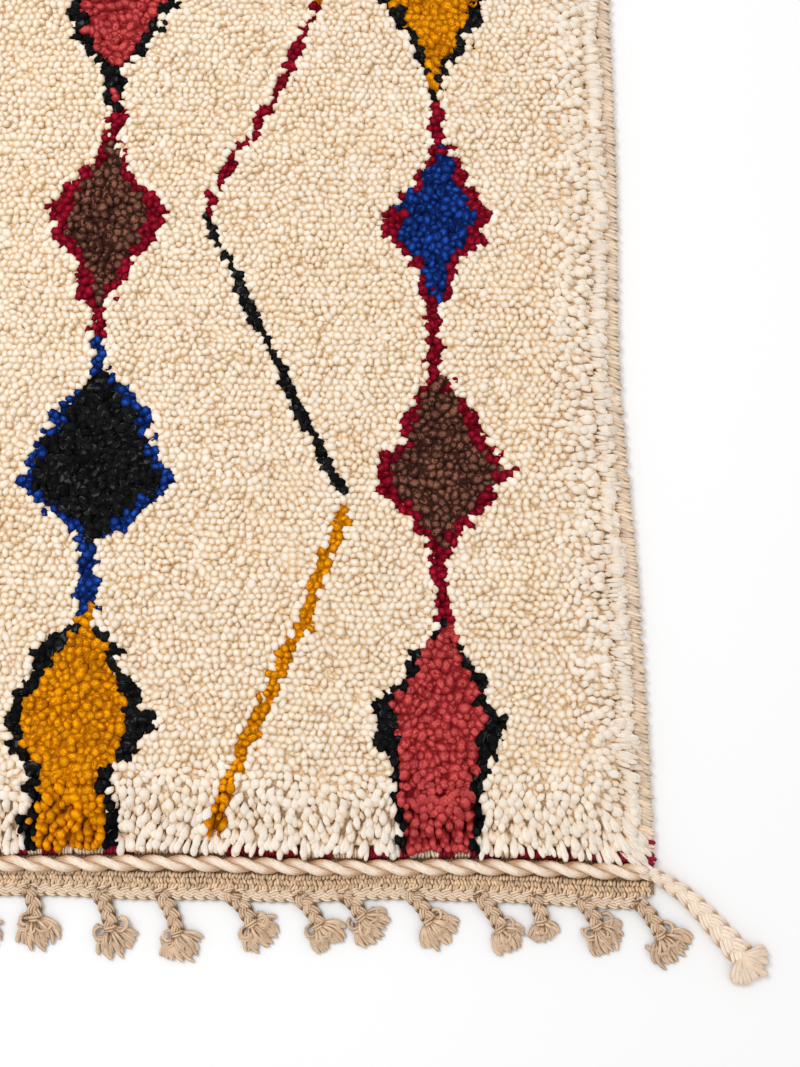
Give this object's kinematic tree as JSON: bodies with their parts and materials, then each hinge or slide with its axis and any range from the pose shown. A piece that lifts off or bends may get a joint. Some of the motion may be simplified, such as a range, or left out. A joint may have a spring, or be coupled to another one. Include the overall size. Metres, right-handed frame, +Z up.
{
  "type": "beni ourain rug",
  "caption": "Small hand-knotted shag rug with wrapped selvedges, flat-woven headings, twisted cords and plaited tassels at both ends.",
  "frame": {"origin": "middle of the rug on its underside, at the floor", "axes": "+X across the rug to the right, +Y along it towards the far end, +Z up out of the pile"},
  "size_m": [1.0664, 1.6999, 0.0229],
  "materials": {
    "cream_pile": "undyed cream wool pile, matt, slightly glossy on the tuft's sides",
    "cord_wool": "undyed cream wool, spun and plied",
    "beige_wool": "undyed beige warp and weft wool",
    "charcoal_pile": "charcoal wool pile",
    "crimson_pile": "crimson wool pile",
    "rose_pile": "faded rose wool pile",
    "mustard_pile": "mustard wool pile",
    "brown_pile": "brown wool pile",
    "blue_pile": "dark blue wool pile"
  },
  "bodies": {
    "root": {"pile_field": "cream_pile", "selvedge_left": "beige_wool", "selvedge_right": "beige_wool", "heading_near": "beige_wool", "twisted_cord_near": "cord_wool", "edge_plait_near": "beige_wool", "cord_tail_near_left": "cord_wool", "cord_tail_near_right": "cord_wool", "tassel_near_01": "beige_wool", "tassel_near_02": "beige_wool", "tassel_near_03": "beige_wool", "tassel_near_04": "beige_wool", "tassel_near_05": "beige_wool", "tassel_near_06": "beige_wool", "tassel_near_07": "beige_wool", "tassel_near_08": "beige_wool", "tassel_near_09": "beige_wool", "tassel_near_10": "beige_wool", "tassel_near_11": "beige_wool", "tassel_near_12": "beige_wool", "tassel_near_13": "beige_wool", "heading_far": "beige_wool", "twisted_cord_far": "cord_wool", "edge_plait_far": "beige_wool", "cord_tail_far_left": "cord_wool", "cord_tail_far_right": "cord_wool", "tassel_far_01": "beige_wool", "tassel_far_02": "beige_wool", "tassel_far_03": "beige_wool", "tassel_far_04": "beige_wool", "tassel_far_05": "beige_wool", "tassel_far_06": "beige_wool", "tassel_far_07": "beige_wool", "tassel_far_08": "beige_wool", "tassel_far_09": "beige_wool", "tassel_far_10": "beige_wool", "tassel_far_11": "beige_wool", "tassel_far_12": "beige_wool", "tassel_far_13": "beige_wool"}
  },
  "joints": []
}
